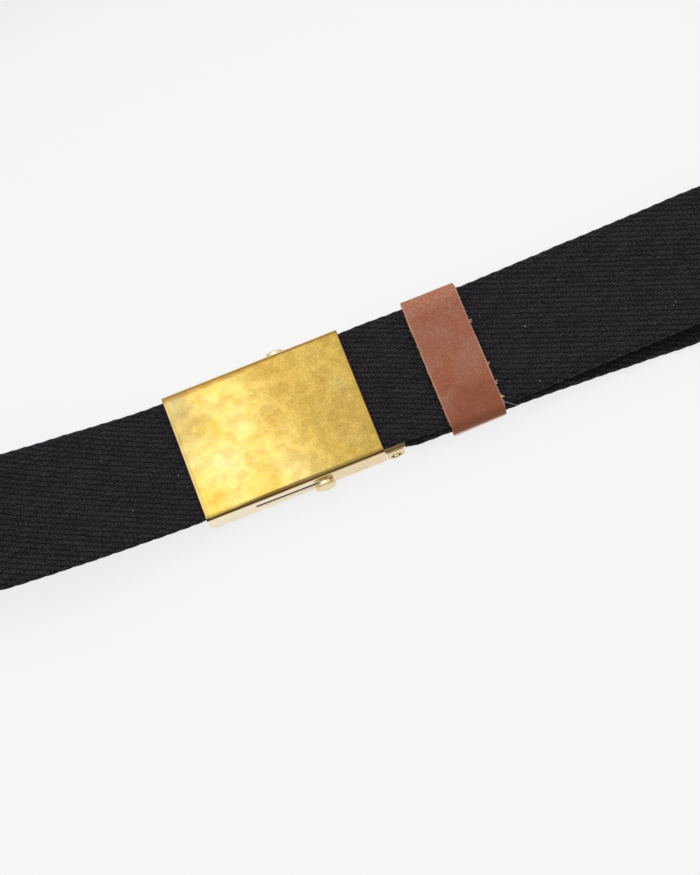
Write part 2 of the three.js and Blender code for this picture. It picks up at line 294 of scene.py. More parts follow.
def plus(tree, first, second):
    return maths(tree, "ADD", first, second)


def minus(tree, first, second, clamp=False):
    return maths(tree, "SUBTRACT", first, second, clamp)


def tint(tree, share, low, high, blend="MIX"):
    """Mixes two colours, each a socket or three numbers."""
    low, high = (c if isinstance(c, bpy.types.NodeSocket) else (*c, 1) for c in (low, high))
    made = node(tree, "Mix", {0: share, 6: low, 7: high}, data_type="RGBA", blend_type=blend)
    return made.outputs[2]


def cover(tree, colour, mask, mark):
    """Lays a mark, its strength and colour, over a colour where the mask is."""
    strength, other = mark
    return tint(tree, times(tree, mask, strength), colour, other)


def shaded(tree, colour, value):
    """Makes a colour brighter or darker by a value that changes over the surface."""
    level = node(tree, "CombineColor", {0: value, 1: value, 2: value}).outputs[0]
    return tint(tree, 1.0, colour, level, "MULTIPLY")


def distance_to(tree, vector, point):
    return node(tree, "VectorMath", {0: vector, 1: point}, operation="DISTANCE").outputs["Value"]


def rise(tree, value, start, end, low=0.0, high=1.0):
    """Goes smoothly from low to high while the value goes from start to end."""
    limits = {0: value, 1: start, 2: end, 3: low, 4: high}
    return node(tree, "MapRange", limits, interpolation_type="SMOOTHSTEP").outputs[0]


def rise_inside(tree, value, edge, insets):
    """Goes from 0 to 1 between two places, given by how far they lie inside an edge."""
    start, end = insets
    return rise(tree, value, edge - start, edge - end)


def clouds(tree, vector, scale, detail=3.0, roughness=0.5, distortion=0.0):
    inputs = {"Vector": vector, "Scale": scale, "Detail": detail, "Roughness": roughness}
    return node(tree, "TexNoise", {**inputs, "Distortion": distortion}).outputs[0]


def mapped(tree, vector, location=(0, 0, 0), scale=(1, 1, 1)):
    made = node(tree, "Mapping", {"Vector": vector, "Location": location, "Scale": scale})
    return made.outputs[0]


def stretched(tree, vector, degrees, stretch, shift=0.0):
    """Turns the vector and draws it out, so that noise on it runs in streaks at that angle."""
    inputs = {
        "Vector": vector,
        "Location": (shift, 0, 0),
        "Rotation": (0, 0, math.radians(degrees)),
        "Scale": (stretch, 1, 1),
    }
    return node(tree, "Mapping", inputs, vector_type="TEXTURE").outputs[0]


def parts_of(tree, vector):
    return node(tree, "SeparateXYZ", {0: vector}).outputs


def effect(name, inputs, outputs):
    """A new node group: its tree, what comes in and what goes out, by name."""
    tree = bpy.data.node_groups.new(name, "ShaderNodeTree")
    for label, kind, value in inputs:
        made = tree.interface.new_socket(name=label, in_out="INPUT", socket_type="NodeSocket" + kind)
        if value is not None:
            made.default_value = value
    for label, kind in outputs:
        tree.interface.new_socket(name=label, in_out="OUTPUT", socket_type="NodeSocket" + kind)
    entry = tree.nodes.new("NodeGroupInput").outputs
    leave = tree.nodes.new("NodeGroupOutput").inputs
    return tree, entry, leave


def use(tree, group, inputs):
    return node(tree, "Group", inputs, node_tree=group).outputs


def scratches_effect():
    """Short fine lines that cross in a few directions."""
    tree, entry, leave = effect(
        "fine_scratches",
        [("Vector", "Vector", None), ("Scale", "Float", 120.0), ("Amount", "Float", 0.5)],
        [("Mask", "Float")],
    )
    scaled = node(tree, "VectorMath", {0: entry["Vector"], 3: entry["Scale"]}, operation="SCALE")
    marks = None
    for turn, stretch in ((8, 24), (-48, 30), (62, 26)):
        turned = stretched(tree, scaled.outputs[0], turn, stretch, turn)
        value = clouds(tree, turned, 1.0, 1.0)
        line = rise(tree, value, 0.68, 0.74)
        marks = line if marks is None else maths(tree, "MAXIMUM", marks, line)
    tree.links.new(times(tree, marks, entry["Amount"], True), leave["Mask"])
    return tree


def specks_effect():
    """Scattered small marks, such as dust, lint or pits."""
    tree, entry, leave = effect(
        "specks",
        [
            ("Vector", "Vector", None),
            ("Scale", "Float", 400.0),
            ("Size", "Float", 0.2),
            ("Share", "Float", 0.03),
        ],
        [("Mask", "Float")],
    )
    cells = node(tree, "TexVoronoi", {"Vector": entry["Vector"], "Scale": entry["Scale"]})
    near = maths(tree, "LESS_THAN", cells.outputs["Distance"], entry["Size"])
    chance = node(tree, "SeparateColor", {0: cells.outputs["Color"]}).outputs[0]
    chosen = maths(tree, "LESS_THAN", chance, entry["Share"])
    tree.links.new(times(tree, near, chosen), leave["Mask"])
    return tree


def patina_effect():
    """Cloudy tarnish: broad clouds, small mottling and a grain for the surface's height."""
    tree, entry, leave = effect(
        "patina",
        [("Vector", "Vector", None), ("Scale", "Float", 90.0)],
        [("Clouds", "Float"), ("Mottle", "Float"), ("Grain", "Float")],
    )
    broad = clouds(tree, entry["Vector"], entry["Scale"], 3.0, 0.42, 0.3)
    tree.links.new(rise(tree, broad, 0.25, 0.75), leave["Clouds"])
    small = times(tree, entry["Scale"], 5.0)
    mottle = clouds(tree, entry["Vector"], small, 4.0, 0.55)
    tree.links.new(rise(tree, mottle, 0.25, 0.75), leave["Mottle"])
    fine = times(tree, entry["Scale"], 28.0)
    tree.links.new(clouds(tree, entry["Vector"], fine, 3.0, 0.6), leave["Grain"])
    return tree


def twill_effect():
    """Slanting ribs made of short floats of yarn, on a place on the strap in millimetres."""
    tree, entry, leave = effect(
        "twill",
        [("Vector", "Vector", None), ("Rib", "Float", RIB_PITCH), ("Pick", "Float", PICK_PITCH)],
        [("Height", "Float"), ("YarnShadeAndTone", "Float"), ("Tone", "Float")],
    )
    place = parts_of(tree, entry["Vector"])
    along = times(tree, place[0], math.sin(RIB_SLANT))
    across = times(tree, place[1], math.cos(RIB_SLANT))
    rib = maths(tree, "DIVIDE", plus(tree, along, across), entry["Rib"])
    pick = maths(tree, "DIVIDE", place[0], entry["Pick"])
    shake = minus(tree, clouds(tree, entry["Vector"], 0.9, 2.0, 0.6), 0.5)
    yarn = minus(tree, times(tree, rib, 2.0), pick)
    yarn = plus(tree, yarn, times(tree, shake, 0.5))
    rib = plus(tree, rib, times(tree, shake, 0.25))
    crest, strand, over = (
        maths(tree, "SINE", times(tree, maths(tree, "FRACT", phase), math.pi))
        for phase in (rib, yarn, pick)
    )
    yarns = plus(tree, times(tree, strand, YARN_HEIGHT), YARN_BASE)
    height = times(tree, maths(tree, "POWER", crest, RIB_SHARPNESS), yarns)
    height = plus(tree, height, times(tree, crest, CREST_HEIGHT))
    height = plus(tree, height, times(tree, over, PICK_HEIGHT))
    fuzz = rise(tree, clouds(tree, entry["Vector"], 2.3, 2.0, 0.85), 0.3, 0.7)
    fuzzy = times(tree, minus(tree, fuzz, 0.5), FUZZ_HEIGHT)
    tree.links.new(plus(tree, height, fuzzy), leave["Height"])

    # Each float's colour share rises with its height: painted shade in the grooves, a painted
    # highlight on the crests. Its own lot gives it a random tone, and its hairs break it up.
    cell = {0: maths(tree, "FLOOR", rib), 1: maths(tree, "FLOOR", yarn)}
    number = node(tree, "CombineXYZ", cell)
    lot = node(tree, "TexWhiteNoise", {"Vector": number.outputs[0]}, noise_dimensions="2D")
    lit = plus(tree, times(tree, lot.outputs["Value"], 0.3), 0.72)
    hairy = plus(tree, times(tree, fuzz, 1.6), 0.05)
    tree.links.new(times(tree, times(tree, height, lit), hairy), leave["YarnShadeAndTone"])
    tree.links.new(clouds(tree, entry["Vector"], 0.12, 3.0, 0.6), leave["Tone"])
    return tree


def grain_effect():
    """Leather's pebbled grain and pores."""
    tree, entry, leave = effect(
        "leather_grain",
        [("Vector", "Vector", None), ("Scale", "Float", 1.5)],
        [("Height", "Float"), ("Mottle", "Float")],
    )
    bent = clouds(tree, entry["Vector"], 0.8, 3.0)
    inputs = {"Vector": entry["Vector"], "Scale": entry["Scale"]}
    cells = node(tree, "TexVoronoi", inputs, feature="DISTANCE_TO_EDGE")
    pebble = rise(tree, cells.outputs["Distance"], 0.0, 0.35)
    tree.links.new(plus(tree, times(tree, pebble, 0.5), bent), leave["Height"])
    mottle = clouds(tree, entry["Vector"], 1.9, 5.0, 0.7)
    tree.links.new(rise(tree, mottle, 0.35, 0.65), leave["Mottle"])
    return tree


SCRATCHES = scratches_effect()
SPECKS = specks_effect()
PATINA = patina_effect()
TWILL = twill_effect()
GRAIN = grain_effect()


# Materials

def new_finish(name):
    finish = bpy.data.materials.new(name)
    finish.use_nodes = True
    tree = finish.node_tree
    return finish, tree, tree.nodes["Principled BSDF"]


def set_bump(tree, shader, height, strength, distance):
    made = node(tree, "Bump", {"Height": height, "Strength": strength, "Distance": distance})
    tree.links.new(made.outputs[0], shader.inputs["Normal"])


def object_place(tree, centre):
    """Object coordinates in millimetres, measured from a place in the frame."""
    coordinates = node(tree, "TexCoord").outputs["Object"]
    moved = mapped(tree, coordinates, tuple(-c for c in centre))
    return node(tree, "VectorMath", {0: moved, 3: 1 / MM}, operation="SCALE").outputs[0]


def strap_place(tree):
    """The strap's own map: along it and across it, in millimetres."""
    strap_map = node(tree, "UVMap", uv_map="strap").outputs[0]
    return node(tree, "VectorMath", {0: strap_map, 3: 1 / MM}, operation="SCALE").outputs[0]


def cotton_finish():
    finish, tree, shader = new_finish("black_cotton_twill")
    place = strap_place(tree)
    weave = use(tree, TWILL, {"Vector": place})
    # The yarn's colour runs from painted shade in the grooves to a painted highlight on the crests,
    # with a random tone per float.
    colour = tint(tree, rise(tree, weave["YarnShadeAndTone"], 0.22, 0.9), *COTTON_TONES["yarn"])
    faded = rise(tree, weave["Tone"], 0.4, 0.8, 0.0, 0.15)
    colour = tint(tree, faded, colour, COTTON_TONES["faded"])
    lint = use(tree, SPECKS, {"Vector": place, "Scale": 0.9, "Size": 0.13, "Share": 0.04})
    colour = cover(tree, colour, lint["Mask"], DUST)
    sheen = {"Sheen Weight": 0.08, "Sheen Roughness": 0.4}
    matt = {"Roughness": 0.85, "Specular IOR Level": 0.15}
    fill(tree, shader, {"Base Color": colour, **matt, **sheen})
    set_bump(tree, shader, weave["Height"], 0.8, 0.35 * MM)
    return finish


def cut_yarn_finish():
    """The cut ends of the webbing, where the yarns show their paler hearts."""
    finish, tree, shader = new_finish("cut_cotton")
    ends = node(tree, "TexVoronoi", {"Vector": object_place(tree, ORIGIN), "Scale": 1.6})
    heart = rise(tree, ends.outputs["Distance"], 0.15, 0.6)
    colour = tint(tree, heart, *COTTON_TONES["cut end"])
    fill(tree, shader, {"Base Color": colour, "Roughness": 0.95})
    set_bump(tree, shader, heart, 0.6, 0.3 * MM)
    return finish


def fibre_finish(name, colour):
    finish, tree, shader = new_finish(name)
    tone = clouds(tree, object_place(tree, ORIGIN), 1.5, 2.0)
    darker = tuple(c * 0.6 for c in colour)
    fill(tree, shader, {"Base Color": tint(tree, tone, colour, darker), "Roughness": 0.8})
    return finish


def face_colour(tree, place, patina, wisps):
    """The face's clouds and marks, and how far each place belongs to the left side's painted
    reflection.
    """
    x, y, _ = parts_of(tree, place)
    # A ragged border splits the face: the left side gets a painted reflection, the right side stays
    # darker.
    ragged = times(tree, minus(tree, wisps["Clouds"], 0.5), BORDER_RAGGED)
    border = plus(tree, plus(tree, x, times(tree, y, BORDER_LEAN)), ragged)
    bright = rise(tree, border, *REFLECTION_BORDER)
    right = tint(tree, wisps["Clouds"], *BRASS_TONES["right half"])
    left = tint(tree, patina["Clouds"], *BRASS_TONES["left half"])
    left = cover(tree, left, rise(tree, wisps["Clouds"], 0.35, 1.0), BRASS_MARKS["pale wisp"])
    brushed = clouds(tree, stretched(tree, place, -20, 3.0, 3.0), 1.0, 3.0, 0.7)
    left = cover(tree, left, rise(tree, brushed, 0.42, 0.68), BRASS_MARKS["brushed"])
    colour = tint(tree, bright, right, left)
    colour = cover(tree, colour, rise(tree, patina["Mottle"], 0.5, 1.0), BRASS_MARKS["stain"])

    # Grey tarnish in the far left corner and down the right end.
    corner = rise(tree, distance_to(tree, place, GREY_CORNER), 12.0, 2.0)
    end = rise(tree, distance_to(tree, place, GREY_END), 15.0, 2.0, 0.0, 0.4)
    grey = maths(tree, "MAXIMUM", corner, end)
    grey = times(tree, grey, plus(tree, wisps["Clouds"], 0.3), True)
    colour = cover(tree, colour, grey, BRASS_MARKS["grey"])
    for along, across, radius, strength, tone in FACE_MARKS:
        away = distance_to(tree, place, (along, across, FACE_TOP))
        away = plus(tree, away, times(tree, ragged, 0.5))
        colour = cover(tree, colour, rise(tree, away, radius, radius * 0.2), (strength, tone))
    return colour, bright


def bend_colour(tree, place, wisps, colour):
    """Adds the painted highlights and shade along the ends and bends. Also gives the near bend's
    painted shade and the far edge's painted highlight as masks.
    """
    x, y, _ = parts_of(tree, place)
    half = CASE_WIDTH / 2

    # The ends: a painted brown shade line beside the lip, and on the lip a painted highlight, pale
    # on the left and brown on the right.
    end = maths(tree, "ABSOLUTE", x)
    lip = rise_inside(tree, end, CASE_END, END_LIP)
    fold = minus(tree, rise_inside(tree, end, CASE_END, END_FOLD), lip, True)
    colour = cover(tree, colour, fold, BRASS_MARKS["fold"])
    # The lip's colour is painted light: a pale highlight on the left, brown on the right.
    worn = tint(tree, maths(tree, "GREATER_THAN", x, 0.0), *BRASS_TONES["lip"])
    colour = cover(tree, colour, lip, (0.8, worn))

    # The far bend: a soft brown band of painted shade, and a painted highlight on the outermost line
    # where it turns down.
    wavy = times(tree, wisps["Mottle"], 0.35)
    start = plus(tree, times(tree, rise(tree, x, 20.0, -14.0), -0.9), wavy)
    inward = minus(tree, y, plus(tree, start, half - FAR_BAND))
    colour = cover(tree, colour, rise(tree, inward, -0.5, 0.7), BRASS_MARKS["far band shade"])
    rim_highlight = rise_inside(tree, y, half, FAR_RIM)
    colour = cover(tree, colour, rim_highlight, BRASS_MARKS["rim_highlight"])

    # The near bend: painted shade, a crisp dark line that widens to a brown band in the middle.
    start = times(tree, plus(tree, rise(tree, end, 24.0, 4.0), wavy), 0.5)
    inward = minus(tree, y, plus(tree, start, -half + NEAR_LINE))
    dark = rise(tree, inward, 0.12, -0.12)
    brown = tint(tree, wisps["Clouds"], *BRASS_TONES["near bend shade"])
    return cover(tree, colour, dark, (0.95, brown)), dark, rim_highlight


def wall_colour(tree, place, wisps):
    """The side walls: pale as a painted reflection of the floor, paler on the left and tan on the
    right.
    """
    x = parts_of(tree, place)[0]
    colour = tint(tree, wisps["Clouds"], *BRASS_TONES["wall"])
    colour = tint(tree, rise(tree, x, 10.0, -24.0, 0.0, 0.35), colour, BRASS_TONES["left wall"])
    tan = plus(tree, wisps["Mottle"], 1.0)
    tan = times(tree, tan, rise(tree, x, -14.0, 24.0, 0.0, 0.4))
    return tint(tree, tan, colour, BRASS_TONES["right wall"])


def worn_brass_finish():
    """The face's cloudy patina under a painted reflection, the painted highlights and shade along
    its bends and the paler side walls.
    """
    finish, tree, shader = new_finish("worn_brass")
    place = object_place(tree, ORIGIN)
    x, _, z = parts_of(tree, place)
    patina = use(tree, PATINA, {"Vector": place, "Scale": 0.06})
    streaked = stretched(tree, place, -32, 1.8, 7.0)
    wisps = use(tree, PATINA, {"Vector": streaked, "Scale": 0.08})
    lines = use(tree, SCRATCHES, {"Vector": place, "Scale": 2.6, "Amount": 1.0})
    pits = use(tree, SPECKS, {"Vector": place, "Scale": 0.8, "Size": 0.14, "Share": 0.05})

    colour, bright = face_colour(tree, place, patina, wisps)
    colour = cover(tree, colour, lines["Mask"], BRASS_MARKS["scratch"])
    colour = cover(tree, colour, pits["Mask"], BRASS_MARKS["pit"])
    # Grain speckle, weaker where the painted reflection is, times a painted shade that darkens the
    # face towards its right end.
    rubbed = minus(tree, patina["Grain"], 0.5)
    grain_and_painted_shade = times(tree, rubbed, rise(tree, bright, 0.0, 1.0, 0.9, 0.4))
    grain_and_painted_shade = plus(tree, grain_and_painted_shade, rise(tree, x, 2.0, 22.0, 1.0, 0.9))
    colour = shaded(tree, colour, grain_and_painted_shade)
    colour, dark, rim_highlight = bend_colour(tree, place, wisps, colour)
    wall = rise_inside(tree, z, FACE_TOP, WALL)
    colour = tint(tree, wall, colour, wall_colour(tree, place, wisps))

    rough = rise(tree, patina["Mottle"], 0.0, 1.0, 0.34, 0.46)
    turned = maths(tree, "MAXIMUM", wall, maths(tree, "MAXIMUM", dark, rim_highlight))
    rough = minus(tree, rough, times(tree, turned, 0.16))
    metal = rise(tree, rim_highlight, 0.0, 1.0, 1.0, 0.35)
    fill(tree, shader, {"Base Color": colour, "Roughness": rough, "Metallic": metal})
    relief = minus(tree, patina["Grain"], times(tree, lines["Mask"], 0.2))
    relief = minus(tree, relief, times(tree, pits["Mask"], 0.8))
    relief = minus(tree, relief, 0.5)
    relief = times(tree, relief, rise(tree, turned, 0.0, 1.0, 1.0, 0.15))
    set_bump(tree, shader, relief, 0.25, 0.05 * MM)
    return finish


def plain_brass_finish(name, pale, dull, roughness, fold=None):
    """The small brass pieces: cleaner metal with faint clouds and scratches.

    A fold, given as its upper and lower height, gets painted shade on its near side and a dark
    painted shadow ring in the gap round the pin.
    """
    finish, tree, shader = new_finish(name)
    place = object_place(tree, ORIGIN)
    patina = use(tree, PATINA, {"Vector": place, "Scale": 0.35})
    lines = use(tree, SCRATCHES, {"Vector": place, "Scale": 4.0, "Amount": 0.7})
    colour = tint(tree, patina["Clouds"], pale, dull)
    colour = cover(tree, colour, lines["Mask"], BRASS_MARKS["plain scratch"])
    if fold is not None:
        x, y, z = parts_of(tree, place)
        upper, lower = fold
        # Painted shade on the fold's near side, then a painted shadow ring in the gap round the pin.
        near = rise(tree, y, -CASE_WIDTH / 2 + 1.6, -CASE_WIDTH / 2 + 1.3)
        shade = times(tree, near, rise(tree, z, lower - 0.3, lower + 0.3))
        shade = times(tree, shade, rise(tree, z, upper, upper - 0.12, 0.35, 1.0))
        colour = cover(tree, colour, shade, BRASS_MARKS["plain fold shade"])
        flat = node(tree, "CombineXYZ", {0: x, 1: 0.0, 2: z}).outputs[0]
        away = distance_to(tree, flat, (PIN_PLACE, 0, PIN_HEIGHT))
        ring = rise(tree, away, PIN_RADIUS + 0.8, PIN_RADIUS + 0.5)
        colour = cover(tree, colour, ring, BRASS_MARKS["pin ring shadow"])
    rough = rise(tree, patina["Mottle"], 0.0, 1.0, roughness, roughness + 0.14)
    fill(tree, shader, {"Base Color": colour, "Roughness": rough, "Metallic": 1.0})
    set_bump(tree, shader, patina["Grain"], 0.2, 0.04 * MM)
    return finish


def cut_brass_finish():
    """The slots' cut edges: pale with a painted highlight outside, dark with a painted shadow
    inside, and lightened by a faint painted glow.
    """
    finish, tree, shader = new_finish("cut_brass")
    side = maths(tree, "ABSOLUTE", parts_of(tree, object_place(tree, ORIGIN))[1])
    dark = rise_inside(tree, side, CASE_WIDTH / 2, SLOT_SHADOW)
    colour = tint(tree, dark, *BRASS_TONES["cut edge"])
    metal = rise(tree, dark, 0.0, 1.0, 0.15, 1.0)
    fill(tree, shader, {"Base Color": colour, "Roughness": 0.5, "Metallic": metal})
    # A faint painted glow in the edge's own colour.
    fill(tree, shader, {"Emission Color": colour, "Emission Strength": 0.3})
    return finish


def leather_finish():
    """The keeper's face: darker in front with painted shade, a painted highlight on the far fold,
    rubbed pale along both edges, and a pale line low on the near fold.
    """
    finish, tree, shader = new_finish("tan_leather")
    place = object_place(tree, ORIGIN)
    x, y, z = parts_of(tree, place)
    grain = use(tree, GRAIN, {"Vector": place, "Scale": 1.7})
    soft = rise(tree, clouds(tree, place, 0.14, 5.0, 0.55), 0.3, 0.7)
    colour = tint(tree, soft, *LEATHER_TONES["face"])
    # Painted shade darkens the face towards the front, and a painted highlight lightens the far
    # fold.
    front = rise(tree, plus(tree, y, times(tree, soft, 6.0)), -4.0, -16.0)
    colour = cover(tree, colour, front, LEATHER_MARKS["front"])
    colour = cover(tree, colour, rise(tree, y, 13.0, 18.5), LEATHER_MARKS["far"])
    colour = cover(tree, colour, grain["Mottle"], LEATHER_MARKS["mottle"])
    speck = rise(tree, clouds(tree, place, 3.0, 2.0, 0.8), 0.3, 0.7, 0.72, 1.26)
    colour = shaded(tree, colour, speck)
    middle = (KEEPER_START + KEEPER_END) / 2
    half = (KEEPER_END - KEEPER_START) / 2
    side = maths(tree, "ABSOLUTE", minus(tree, x, middle))
    colour = cover(tree, colour, rise_inside(tree, side, half, RUBBED_EDGE), LEATHER_MARKS["rubbed"])
    near = maths(tree, "LESS_THAN", y, KEEPER_FRONT)
    low = times(tree, near, rise(tree, z, 6.9, 6.3))
    colour = tint(tree, low, colour, LEATHER_TONES["low line"])
    rough = rise(tree, grain["Mottle"], 0.0, 1.0, 0.5, 0.68)
    fill(tree, shader, {"Base Color": colour, "Roughness": rough, "Specular IOR Level": 0.4})
    set_bump(tree, shader, grain["Height"], 0.6, 0.15 * MM)
    return finish


def raw_leather_finish():
    """The cut edges of the leather, pale and fibrous."""
    finish, tree, shader = new_finish("raw_leather_edge")
    upright = mapped(tree, object_place(tree, ORIGIN), scale=(1, 1, 2.5))
    fibre = clouds(tree, upright, 3.0, 4.0, 0.7)
    colour = tint(tree, fibre, *LEATHER_TONES["raw edge"])
    fill(tree, shader, {"Base Color": colour, "Roughness": 0.85})
    set_bump(tree, shader, fibre, 0.6, 0.2 * MM)
    return finish


COTTON = cotton_finish()
CUT_COTTON = cut_yarn_finish()
FUZZ = fibre_finish("cotton_fuzz", (0.035, 0.033, 0.036))
LINT = fibre_finish("pale_lint", (0.62, 0.60, 0.57))
TAN_FIBRE = fibre_finish("leather_fibre", (0.85, 0.63, 0.43))
WORN_BRASS = worn_brass_finish()
CLAMP_BRASS = plain_brass_finish(
    "clamp_brass", (0.90, 0.75, 0.45), (0.80, 0.61, 0.30), 0.28, (PLATE_TOP, PLATE_TOP - 1.7)
)
CUT_BRASS = cut_brass_finish()
PALE_BRASS = plain_brass_finish("pale_brass", (0.93, 0.80, 0.50), (0.86, 0.70, 0.38), 0.3)
LEATHER_FACE = leather_finish()
LEATHER_EDGE = raw_leather_finish()


# Pieces

def add_object(name, bm, finishes):
    made = bpy.data.meshes.new(name)
    bm.to_mesh(made)
    bm.free()
    for finish in finishes:
        made.materials.append(finish)
    thing = bpy.data.objects.new(name, made)
    bpy.context.scene.collection.objects.link(thing)
    return thing


def piece(name, bm, finishes, nodes=(), smooth=35):
    """Makes an object of a mesh that was worked out in millimetres from the buckle's middle."""
    bmesh.ops.scale(bm, verts=bm.verts, vec=(MM, MM, MM))
    bmesh.ops.translate(bm, verts=bm.verts, vec=ORIGIN)
    thing = add_object(name, bm, finishes)
    thing.data.shade_smooth()
    thing.data.set_sharp_from_angle(angle=math.radians(smooth))
    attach(thing, "root")
    if nodes:
        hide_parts(*nodes)
    return thing


def flat_run(places, height, width, drift=0.0):
    """Rows of the front strap that share a height, a width and a sideways drift."""
    return [(along, drift, height, 0.0, width) for along in places]


def turn_row(reach, back, lift, roll):
    angle = math.radians(roll)
    stand = (math.sin(angle) * STRAP_WIDTH + math.cos(angle) * STRAP_THICKNESS) / 2
    along = RIGHT_START + reach * RIGHT_RUN if reach > 0 else LEFT_START + reach * LEFT_RUN
    return (along, back * LOOP_DEPTH, lift * STRAP_WIDTH + stand, angle, STRAP_WIDTH)


def strap_rows():
    """Each row is a place of the strap's middle line, its roll and its width."""
    in_clamp = (CLAMPED_END, CLAMP_END - CLAMP_LEAD, CLAMP_END)
    at_keeper = (KEEPER_START - KEEPER_LEAD, KEEPER_END + KEEPER_LEAD)
    in_case = (LEFT_START, -CASE_END, CASE_END, CLAMP_END)
    sagging = FIXED_HEIGHT - FIXED_SAG
    return np.array(
        [
            *flat_run(in_clamp, FIXED_HEIGHT, CLAMPED_WIDTH),
            *flat_run([CLAMP_END + CLAMP_LEAD], sagging, STRAP_WIDTH, -FIXED_DRIFT / 2),
            *flat_run((*at_keeper, RIGHT_START), FIXED_HEIGHT, STRAP_WIDTH, -FIXED_DRIFT),
            *[turn_row(*turn) for turn in TURNS],
            *flat_run(in_case, SLIDING_HEIGHT, SLIDING_WIDTH),
            *flat_run(at_keeper, TAIL_HEIGHT, STRAP_WIDTH),
            *flat_run([TAIL_END], TAIL_HEIGHT, STRAP_WIDTH, TAIL_DRIFT),
        ]
    )


def smooth_line(points, steps):
    """A centripetal curve through the points: its places, directions and row numbers."""
    padded = np.vstack([2 * points[0] - points[1], points, 2 * points[-1] - points[-2]])
    places, ways, numbers = [], [], []
    for i in range(len(points) - 1):
        p0, p1, p2, p3 = padded[i : i + 4]
        d0, d1, d2 = (np.linalg.norm(b - a) ** 0.5 for a, b in ((p0, p1), (p1, p2), (p2, p3)))
        start = ((p1 - p0) / d0 - (p2 - p0) / (d0 + d1) + (p2 - p1) / d1) * d1
        end = ((p2 - p1) / d1 - (p3 - p1) / (d1 + d2) + (p3 - p2) / d2) * d1
        last = i == len(points) - 2
        share = np.linspace(0, 1, steps + last, endpoint=last)[:, None]
        square = 3 * (p2 - p1) - 2 * start - end
        cube = 2 * (p1 - p2) + start + end
        places.append(p1 + start * share + square * share**2 + cube * share**3)
        ways.append(start + 2 * square * share + 3 * cube * share**2)
        numbers.append(i + share[:, 0])
    ways = np.vstack(ways)
    return np.vstack(places), ways / np.linalg.norm(ways, axis=1)[:, None], np.concatenate(numbers)


def smooth_values(values, numbers):
    """Values at the rows, eased between them."""
    slope = np.gradient(values)
    slope[0] = slope[-1] = 0
    low = np.minimum(numbers.astype(int), len(values) - 2)
    t = numbers - low
    a, b = values[low], values[low + 1]
    rise_a, rise_b = slope[low], slope[low + 1]
    return (
        a * (2 * t**3 - 3 * t**2 + 1)
        + b * (3 * t**2 - 2 * t**3)
        + rise_a * (t**3 - 2 * t**2 + t)
        + rise_b * (t**3 - t**2)
    )


def strap_stations():
    """Evenly spaced places along the strap: middle, across, outward, width and length so far."""
    rows = strap_rows()
    centres, ways, numbers = smooth_line(rows[:, :3], CURVE_STEPS)
    roll = smooth_values(rows[:, 3], numbers)
    width = np.interp(numbers, range(len(rows)), rows[:, 4])
    steps = np.linalg.norm(np.diff(centres, axis=0), axis=1)
    length = np.concatenate([[0], np.cumsum(steps)])
    count = round(length[-1] / STATION_STEP)
    at = np.linspace(0, length[-1], count + 1)

    def spaced(values):
        if values.ndim == 1:
            return np.interp(at, length, values)
        return np.stack([np.interp(at, length, column) for column in values.T], 1)

    middle, along, roll, width = spaced(centres), spaced(ways), spaced(roll), spaced(width)
    along /= np.linalg.norm(along, axis=1)[:, None]
    level = np.cross([0, 0, 1], along)
    level /= np.linalg.norm(level, axis=1)[:, None]
    raised = np.cross(along, level)
    across = level * np.cos(roll)[:, None] + raised * np.sin(roll)[:, None]
    outward = np.cross(along, across)
    return middle, across, outward, width, at


def strap_outline():
    """Places round the strap's cross-section: share of the half width, height, and edge or not."""
    back_half = BACK_CELLS // 2 + 1
    turns = [math.pi * k / EDGE_CELLS for k in range(1, EDGE_CELLS)]
    back = [(share, -1.0, 0.0) for share in np.linspace(0, -1, back_half)]
    left = [(-1.0, -math.cos(turn), math.sin(turn)) for turn in turns]
    face = [(share, 1.0, 0.0) for share in np.linspace(-1, 1, FACE_CELLS + 1)]
    right = [(1.0, -height, edge) for _, height, edge in left]
    back_again = [(share, -1.0, 0.0) for share in np.linspace(1, 0, back_half)]
    return back + left + face + right + back_again


def rib_height(along, across):
    """How high the ribs stand at a place on the strap, from 0 in a groove to 1 on a crest."""
    phase = (along * math.sin(RIB_SLANT) + across * math.cos(RIB_SLANT)) / RIB_PITCH
    return 0.5 - 0.5 * math.cos(2 * math.pi * phase)


def selvedge(along, side):
    """How far the ends of the ribs stand out along an edge."""
    wander = noise.noise(Vector((along / 9.0, side * 5.0, 0.0)))
    notch = rib_height(along, side * STRAP_WIDTH / 2) - 0.6
    return SELVEDGE_BUMP * notch + SELVEDGE_WANDER * wander


